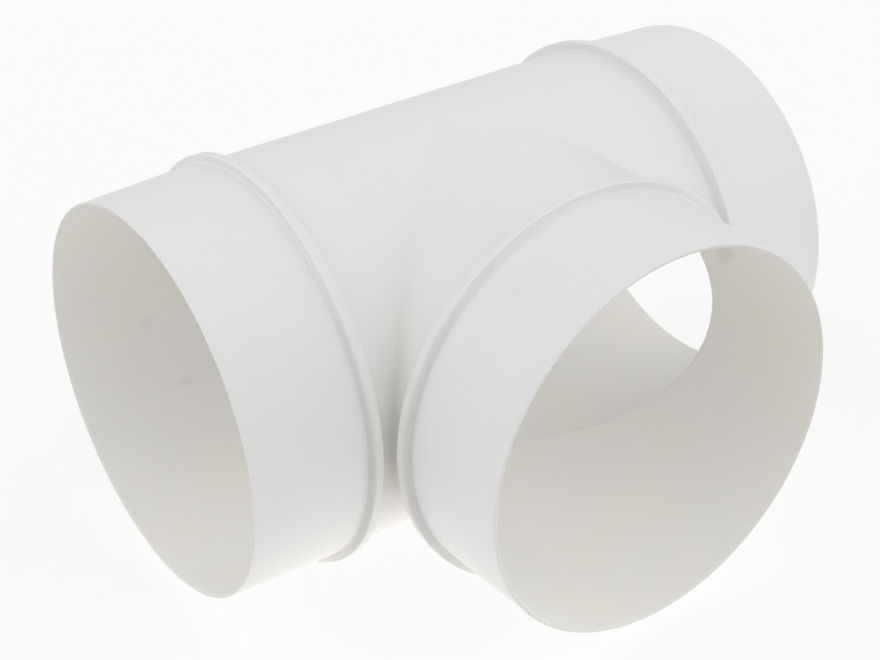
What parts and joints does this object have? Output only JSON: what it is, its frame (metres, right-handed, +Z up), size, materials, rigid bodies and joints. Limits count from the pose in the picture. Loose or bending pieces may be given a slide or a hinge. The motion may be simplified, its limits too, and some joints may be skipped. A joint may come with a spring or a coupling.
{
  "type": "round duct tee",
  "caption": "Equal round duct tee: a straight tube with a side branch of the same size, each mouth a tapered spigot behind a raised stop bead.",
  "frame": {"origin": "the point where the axis of the straight run and the axis of the branch cross", "axes": "+X along the straight run, -Y out of the branch's mouth, +Z up from the side that the tee rests on"},
  "size_m": [0.173, 0.1389, 0.1048],
  "materials": {
    "white_plastic": "satin"
  },
  "bodies": {
    "root": {"duct_tee": "white_plastic"}
  },
  "joints": []
}
